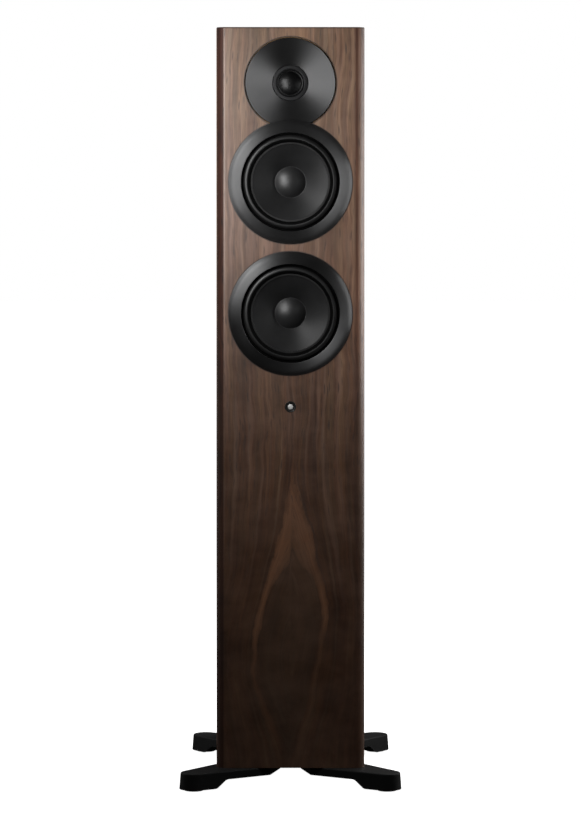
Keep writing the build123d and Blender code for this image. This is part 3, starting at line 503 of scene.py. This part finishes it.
def fibreboard(name, dark, light):
    """Pressed wood fibre: short random fibres, darker specks here and there."""
    n = Nodes(name)
    fibre = n.noise((2400, 420, 2400), 4, 0.7)
    specks = n.cells(900)
    colour = n.mix(n.span(fibre, 0.3, 0.7), dark, light)
    colour = n.mix(n.span(specks, 0.3, 0.05, 0.0, 0.35), colour, times_each(dark, 0.6))
    return n.done(colour, n.span(fibre, 0.2, 0.8, 0.8, 0.92), n.bump(fibre, 0.00008))


def open_foam(name, dark, light):
    n = Nodes(name)
    bubbles = n.cells(650)
    colour = n.mix(n.span(bubbles, 0.0, 0.6), dark, light)
    return n.done(colour, n.span(bubbles, 0, 0.6, 0.97, 0.85), n.bump(bubbles, 0.0008))


def wound_wire(name, dark, light, pitch_mm):
    """Turns of enamelled wire laid side by side from front to back."""
    n = Nodes(name)
    _, y, _ = n.split(n.place)
    turn = n.math("SINE", n.times(y, 2 * pi / (pitch_mm * MM)))
    slow = n.noise(300, 3, 0.6)
    colour = n.mix(n.span(n.add(n.times(turn, 0.3), slow), 0.2, 0.9), dark, light)
    return n.done(colour, n.span(slow, 0.2, 0.8, 0.28, 0.4), n.bump(turn, 0.00008), Metallic=0.9)


def circuit_board(name):
    """Green lacquer over paler tracks."""
    n = Nodes(name)
    tracks = n.span(n.cells((160, 160, 90), feature="DISTANCE_TO_EDGE"), 0.05, 0.08)
    resin = n.noise(500, 3, 0.6)
    green = n.mix(n.span(resin, 0.3, 0.7), (0.012, 0.075, 0.030), (0.020, 0.110, 0.045))
    colour = n.mix(tracks, (0.035, 0.17, 0.07), green)
    return n.done(colour, n.span(resin, 0.2, 0.8, 0.3, 0.42), n.bump(tracks, 0.00004))


def insulated(name):
    """Red or black insulation, in patches a few centimetres long."""
    n = Nodes(name)
    skin = n.noise((700, 700, 60), 3, 0.6)
    patch = n.noise(45, 1, 0.5)
    colour = n.mix(n.span(patch, 0.49, 0.51), (0.20, 0.012, 0.010), (0.014, 0.014, 0.015))
    return n.done(colour, n.span(skin, 0.2, 0.8, 0.38, 0.5), n.bump(skin, 0.00003))


CONE_TONES = ((0.014, 0.014, 0.0143), (0.018, 0.018, 0.0184))

WALNUT = Walnut().finished()
MDF = fibreboard("fibreboard_material", (0.30, 0.19, 0.105), (0.42, 0.28, 0.165))
PAINTED_BOARD = coated("underside_paint", (0.010, 0.010, 0.010), (0.016, 0.015, 0.015), 0.62, 0.6, 0.05)
RING = turned_black("trim_ring_material", (0.100, 0.100, 0.101), (0.118, 0.118, 0.119), 0.48, 0.86)
PLATE = turned_black("faceplate_material", (0.105, 0.105, 0.106), (0.122, 0.122, 0.123), 0.48, 0.88)
RUBBER = coated(
    "surround_rubber", (0.007, 0.007, 0.007), (0.010, 0.010, 0.0102), 0.40, 0.26, 0.01,
    Specular_IOR_Level=0.5,
)
# painted shade: the surround's rubber made near black and without sheen in its grooves
PAINTED_GROOVE_SHADE = coated(
    "surround_painted_groove_shade", (0.0015, 0.0015, 0.0015), (0.003, 0.003, 0.003), 0.9, 0.26, 0.01,
    Specular_IOR_Level=0.05,
)
CONE = coated("cone_polymer", *CONE_TONES, 0.42, 0.45, 0.012, Specular_IOR_Level=0.22)
CONE_DOME = coated("cone_dome_polymer", *CONE_TONES, 0.42, 0.45, 0.012, Specular_IOR_Level=0.62)
DOME_RING = turned_metal(
    "dome_ring_metal", (0.016, 0.016, 0.0165), (0.026, 0.026, 0.027), 0.44, 0.3, TWEETER_Z, metallic=0.6,
)
DOME = woven(
    "coated_silk", (0.002, 0.002, 0.002), (0.004, 0.004, 0.0042), 0.36, 0.35,
    Specular_IOR_Level=0.25, Coat_Weight=0.2, Coat_Roughness=0.22,
)
BADGE_FACE = turned_metal(
    "badge_face", (0.035, 0.034, 0.033), (0.060, 0.058, 0.055), 0.34, 0.2, BADGE_Z, metallic=0.7,
)
PIP = turned_metal(
    "badge_pip_metal", (0.82, 0.82, 0.80), (0.92, 0.92, 0.90), 0.42, 0.2, BADGE_Z, metallic=0.25,
)
FOOT = coated(
    "foot_casting_paint", (0.017, 0.017, 0.017), (0.021, 0.021, 0.0212), 0.5, 0.5, 0.03,
    wear=1.0, Specular_IOR_Level=0.1,
)
GLIDE = coated("glide_rubber", (0.008, 0.008, 0.008), (0.014, 0.014, 0.014), 0.7, 0.4, 0.04)
MOULDED = coated("moulded_black", (0.012, 0.012, 0.0125), (0.020, 0.020, 0.021), 0.45, 0.4, 0.03)
BASKET = coated("cast_basket_paint", (0.016, 0.016, 0.017), (0.026, 0.026, 0.027), 0.55, 0.6, 0.05)
RED = coated(
    "red_post_moulding", (0.24, 0.010, 0.010), (0.32, 0.016, 0.014), 0.28, 0.5, 0.01,
    wear=0.2, Coat_Weight=0.3,
)
BLACK = coated(
    "black_post_moulding", (0.010, 0.010, 0.010), (0.016, 0.016, 0.016), 0.28, 0.5, 0.01,
    wear=0.3, Coat_Weight=0.3,
)
GOLD = scratched_metal("plated_post_metal", (0.62, 0.42, 0.16), (0.75, 0.53, 0.24), 0.22)
STEEL = scratched_metal("zinc_steel", (0.42, 0.42, 0.43), (0.56, 0.56, 0.57), 0.32)
BLACK_STEEL = scratched_metal(
    "black_oxide_steel", (0.020, 0.020, 0.021), (0.040, 0.040, 0.041), 0.38, metallic=0.8,
)
FERRITE = coated("ferrite", (0.030, 0.030, 0.032), (0.055, 0.055, 0.058), 0.6, 0.8, 0.06, wear=0.4)
CLOTH = woven("spider_cloth", (0.30, 0.17, 0.06), (0.44, 0.28, 0.11), 0.8, 0.8)
FOAM = open_foam("damping_foam_material", (0.012, 0.012, 0.013), (0.055, 0.055, 0.058))
GASKET = coated("gasket_foam", (0.008, 0.008, 0.008), (0.015, 0.015, 0.015), 0.85, 0.3, 0.08)
COPPER = wound_wire("voice_coil_copper", (0.42, 0.16, 0.06), (0.68, 0.32, 0.14), 0.35)
INDUCTOR = wound_wire("inductor_copper", (0.45, 0.17, 0.06), (0.72, 0.34, 0.14), 1.4)
BOARD = circuit_board("crossover_board_material")
CAPACITOR = coated("film_capacitor", (0.22, 0.13, 0.03), (0.30, 0.19, 0.06), 0.35, 1.2, 0.03)
LEADS = insulated("lead_insulation")


# ---------------------------------------------------------------- materials on the frame's own nodes
on_nodes = {
    WALNUT: ["walnut_veneer"],
    MDF: ["front_baffle", "rear_panel", "left_side_panel", "right_side_panel", "top_panel", "window_braces"],
    PAINTED_BOARD: ["bottom_panel"],
    PLATE: ["tweeter_faceplate"],
    FOAM: ["damping_foam"],
    GASKET: ["driver_gaskets"],
    BLACK_STEEL: ["driver_screws", "foot_screws", "terminal_screws"],
    MOULDED: ["tweeter_rear_chamber", "port_tube", "terminal_cup"],
    COPPER: ["tweeter_voice_coil", "upper_woofer_voice_coil", "lower_woofer_voice_coil"],
    STEEL: ["tweeter_motor_steel", "upper_woofer_motor_steel", "lower_woofer_motor_steel"],
    FERRITE: ["tweeter_magnet", "upper_woofer_magnet", "lower_woofer_magnet"],
    BASKET: ["upper_woofer_basket", "lower_woofer_basket"],
    CLOTH: ["upper_woofer_spider", "lower_woofer_spider"],
    GOLD: ["post_studs", "red_post_washer", "black_post_washer"],
    RED: ["red_post_knob"],
    BLACK: ["black_post_knob"],
    BOARD: ["crossover_board"],
    INDUCTOR: ["crossover_inductors"],
    CAPACITOR: ["crossover_capacitors"],
    LEADS: ["wiring"],
    FOOT: [],
    GLIDE: [],
}
for corner in ("front_left", "front_right", "rear_left", "rear_right"):
    on_nodes[FOOT].append(f"{corner}_foot")
    on_nodes[STEEL].append(f"{corner}_level_stud")
    on_nodes[GLIDE].append(f"{corner}_glide")
for material, nodes in on_nodes.items():
    for node in nodes:
        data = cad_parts[node].data
        data.materials.clear()
        data.materials.append(material)
        data.polygons.foreach_set("material_index", [0] * len(data.polygons))


# ---------------------------------------------------------------- turned meshes
def arc(start, through, end, steps):
    """Points after start on the circle through three (radius, depth) points."""
    (ax, ay), (bx, by), (cx, cy) = start, through, end
    d = 2 * (ax * (by - cy) + bx * (cy - ay) + cx * (ay - by))
    ux = ((ax**2 + ay**2) * (by - cy) + (bx**2 + by**2) * (cy - ay) + (cx**2 + cy**2) * (ay - by)) / d
    uy = ((ax**2 + ay**2) * (cx - bx) + (bx**2 + by**2) * (ax - cx) + (cx**2 + cy**2) * (bx - ax)) / d
    radius = hypot(ax - ux, ay - uy)
    first, middle, last = (atan2(py - uy, px - ux) for px, py in (start, through, end))
    turn = (last - first) % (2 * pi)
    if (middle - first) % (2 * pi) > turn:
        turn -= 2 * pi
    angles = (first + turn * k / steps for k in range(1, steps + 1))
    return [(ux + radius * cos(angle), uy + radius * sin(angle)) for angle in angles]


def outline(start, *steps):
    """A list of (radius, depth) points. A step is a point, or for an arc (through, end, how many steps)."""
    points = [start]
    for step in steps:
        if isinstance(step[0], tuple):
            points += arc(points[-1], *step)
        else:
            points.append(step)
    return points


def with_back(front, thick):
    """Close a front surface with the same line that much further back."""
    return front + [(radius, depth + thick) for radius, depth in reversed(front)]


def lathe(name, points, z, body, material, segments):
    """Turn a closed outline round the front-to-back axis at height z.

    Its points are (radius, depth behind the cabinet's face) in millimetres. Without a body the piece
    is left for flex.
    """
    on_axis = 1e-6
    rings, verts = [], []
    for radius, depth in points:
        first = len(verts)
        y = FACE_Y + depth * MM
        if radius < on_axis:
            verts.append((0.0, y, z))
            rings.append([first] * segments)
            continue
        for k in range(segments):
            angle = 2 * pi * k / segments
            verts.append((radius * MM * cos(angle), y, z + radius * MM * sin(angle)))
        rings.append(list(range(first, first + segments)))
    faces = []
    for near, far in zip(rings, rings[1:] + rings[:1]):
        for k in range(segments):
            following = (k + 1) % segments
            # a ring of one point makes triangles, and two of them make nothing
            face = list(dict.fromkeys((near[k], near[following], far[following], far[k])))
            if len(face) > 2:
                faces.append(face)
    mesh = bpy.data.meshes.new(name)
    mesh.from_pydata(verts, [], faces)
    bm = bmesh.new()
    bm.from_mesh(mesh)
    bmesh.ops.recalc_face_normals(bm, faces=bm.faces)
    bm.to_mesh(mesh)
    bm.free()
    mesh.shade_smooth()
    mesh.set_sharp_from_angle(angle=radians(35))
    mesh.materials.append(material)
    piece = bpy.data.objects.new(name, mesh)
    bpy.context.scene.collection.objects.link(piece)
    if body:
        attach(piece, body)
    return piece


def flex(piece):
    """Keep a round piece without a body, with its placement baked into its mesh."""
    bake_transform(piece)


def finish_zone(piece, z, inner_r, outer_r, material):
    """Give the faces between two radii a second material."""
    slots = piece.data.materials
    if material.name not in slots:
        slots.append(material)
    for face in piece.data.polygons:
        if inner_r * MM <= hypot(face.center.x, face.center.z - z) < outer_r * MM:
            face.material_index = slots.find(material.name)


# ---------------------------------------------------------------- drivers and badge
def woofer(name, z):
    moving = f"{name}_woofer_moving"
    # trim ring: a nearly flat inner land, then a long roll down to the cabinet
    ring = outline(
        (60.3, 0.0), (RING_R, 0.0), (RING_R, -0.5), ((75.1, -1.05), (74.3, -1.55), 8),
        ((72.4, -3.1), (69.4, -4.35), 20), (68.2, -4.62), (62.2, -4.96), (60.7, -4.98),
        ((60.4, -4.88), (60.3, -4.6), 5),
    )
    piece = lathe(f"{name}_woofer_trim_ring_skin", ring, z, BODY, RING, segments=240)
    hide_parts(f"{name}_woofer_trim_ring")

    # cone and dome in one moulding, with a fine rim bead and a crease round the dome
    cone = outline(
        (49.0, 1.4), (47.6, 1.42), ((46.9, 1.5), (46.3, 1.95), 6), ((33.0, 8.5), (19.6, 16.3), 48),
        ((19.2, 16.75), (18.8, 16.72), 5), ((10.2, 11.35), (0.0, 9.45), 40),
    )
    cone = with_back(cone, 0.75)
    piece = lathe(f"{name}_woofer_cone_skin", cone, z, moving, CONE, segments=240)
    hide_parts(f"{name}_woofer_cone")
    finish_zone(piece, z, 0.0, 19.4, CONE_DOME)  # out to the crease

    # half-roll surround, glued to the cone's rim and to the basket's ledge
    roll = outline(
        (60.2, 0.6), (58.2, 0.6), ((57.75, 0.5), (57.5, 0.2), 6), ((53.3, -3.75), (49.1, 0.2), 48),
        ((48.85, 0.5), (48.4, 0.62), 6), (46.4, 0.75), (46.4, 1.4), (49.3, 1.4),
        ((53.3, -2.75), (57.3, 1.4), 32), (60.2, 1.4),
    )
    piece = lathe(f"{name}_woofer_surround_skin", roll, z, None, RUBBER, segments=240)
    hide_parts(f"{name}_woofer_surround")
    for inner_r, outer_r in ((48.0, 52.2), (57.2, 61.0)):  # the grooves on both sides of the roll, made near black: painted shade
        finish_zone(piece, z, inner_r, outer_r, PAINTED_GROOVE_SHADE)
    flex(piece)


def tweeter():
    # clamping ring with a fine turned lip
    ring = outline(
        (21.7, 8.9), (21.7, 7.3), ((21.35, 6.85), (20.8, 6.7), 6), (18.0, 6.5),
        ((17.7, 6.55), (17.5, 6.95), 5), (17.15, 7.1), (16.95, 6.6), ((16.75, 6.32), (16.5, 6.6), 6),
        (16.5, 8.9),
    )
    piece = lathe("tweeter_dome_ring_skin", ring, TWEETER_Z, BODY, DOME_RING, segments=200)
    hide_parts("tweeter_dome_ring")

    # dome with the small roll round it and the flat edge that the ring clamps
    dome = outline(
        (0.0, 3.6), ((7.2, 4.8), (13.6, 8.35), 40), ((13.95, 8.62), (14.2, 8.45), 5),
        ((15.15, 7.6), (16.1, 8.5), 16), (16.4, 8.9), (20.0, 8.9),
    )
    dome = with_back(dome, 0.35)
    piece = lathe("tweeter_dome_skin", dome, TWEETER_Z, None, DOME, segments=160)
    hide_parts("tweeter_dome")
    flex(piece)


def badge():
    # a shallow dark disc with a bright pip let into it
    disc = outline(
        (0.0, 2.0), (6.8, 2.0), (6.8, 0.0), ((6.72, -0.26), (6.45, -0.38), 6),
        ((6.2, -0.4), (5.95, -0.3), 4), (3.2, -0.28), (3.2, 0.4), (0.0, 0.4),
    )
    piece = lathe("badge_disc", disc, BADGE_Z, BODY, BADGE_FACE, segments=120)
    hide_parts("badge")
    pip = outline((0.0, 0.4), (3.1, 0.4), (3.1, -0.35), ((1.7, -0.66), (0.0, -0.75), 10))
    lathe("badge_pip", pip, BADGE_Z, BODY, PIP, segments=80)


for woofer_name, woofer_z in WOOFERS.items():
    woofer(woofer_name, woofer_z)
tweeter()
badge()


# ---------------------------------------------------------------- camera
# nearly 4 m in front of the cabinet, looking 0.9 degrees down
camera_data = bpy.data.cameras.new("camera")
camera_data.lens = 136.8
camera_data.sensor_width = 36.0
camera_data.shift_y = -0.15
camera_data.clip_end = 50
camera = bpy.data.objects.new("camera", camera_data)
bpy.context.scene.collection.objects.link(camera)
camera.location = (0.0013, FACE_Y - 3.824, 0.667)
camera.rotation_euler = (radians(90 - 0.9), 0, 0)
bpy.context.scene.camera = camera


# ---------------------------------------------------------------- light and stage
def area_light(name, place, aim, size, power):
    data = bpy.data.lights.new(name, "AREA")
    data.shape = "RECTANGLE"
    data.size, data.size_y = size
    data.energy = power
    lamp = bpy.data.objects.new(name, data)
    bpy.context.scene.collection.objects.link(lamp)
    lamp.location = place
    lamp.rotation_euler = (Vector(aim) - Vector(place)).to_track_quat("-Z", "Y").to_euler()
    lamp.visible_camera = False


# small lamps in front of the drivers: two to the left, then a faint one and a low one to the right
area_light("key", (-0.23, FACE_Y - 0.355, 0.75), (0, FACE_Y, 0.77), (0.24, 0.24), 1.3)
area_light("high", (-0.29, FACE_Y - 0.335, 0.96), (0, FACE_Y, 0.88), (0.24, 0.20), 1.2)
area_light("fill", (0.35, FACE_Y - 0.40, 0.80), (0, FACE_Y, 0.78), (0.20, 0.20), 0.05)
area_light("near_right", (0.48, FACE_Y - 0.09, 0.68), (0.09, FACE_Y, 0.64), (0.15, 0.45), 1.25)
# large soft ones for the sides and the back
area_light("side_right", (1.2, 0.40, 0.8), (0, 0.05, 0.5), (0.6, 1.3), 9)
area_light("side_left", (-1.2, 0.45, 0.8), (0, 0.05, 0.5), (0.6, 1.3), 4)
area_light("back", (0.3, 1.0, 2.1), (0, 0.15, 0.5), (1.2, 1.2), 16)

# the background is white to the camera and lights the part only faintly
world = bpy.data.worlds.new("world")
bpy.context.scene.world = world
world.use_nodes = True
tree = world.node_tree
seen = tree.nodes.new("ShaderNodeLightPath").outputs["Is Camera Ray"]
strength = tree.nodes.new("ShaderNodeMapRange")
tree.links.new(seen, strength.inputs["Value"])
strength.inputs["To Min"].default_value = 0.012
strength.inputs["To Max"].default_value = 1.0
background = tree.nodes["Background"]
background.inputs["Color"].default_value = (1, 1, 1, 1)
tree.links.new(strength.outputs[0], background.inputs["Strength"])

HALF_FLOOR = 30
corners = [(-1, -1), (1, -1), (1, 1), (-1, 1)]
floor_mesh = bpy.data.meshes.new("floor")
floor_mesh.from_pydata([(x * HALF_FLOOR, y * HALF_FLOOR, 0) for x, y in corners], [], [(0, 1, 2, 3)])
floor = bpy.data.objects.new("floor", floor_mesh)
bpy.context.scene.collection.objects.link(floor)
floor_nodes = Nodes("floor_material")
pale = floor_nodes.ramp(floor_nodes.noise(3, 3), (0.3, (0.84, 0.84, 0.84)), (0.7, (0.86, 0.86, 0.86)))
white = floor_nodes.done(pale, 0.9, Emission_Color=(1.0, 1.0, 1.0), Emission_Strength=1.0)
floor_mesh.materials.append(white)
floor.visible_diffuse = False
floor.visible_glossy = False

bpy.context.scene.view_settings.view_transform = "Standard"
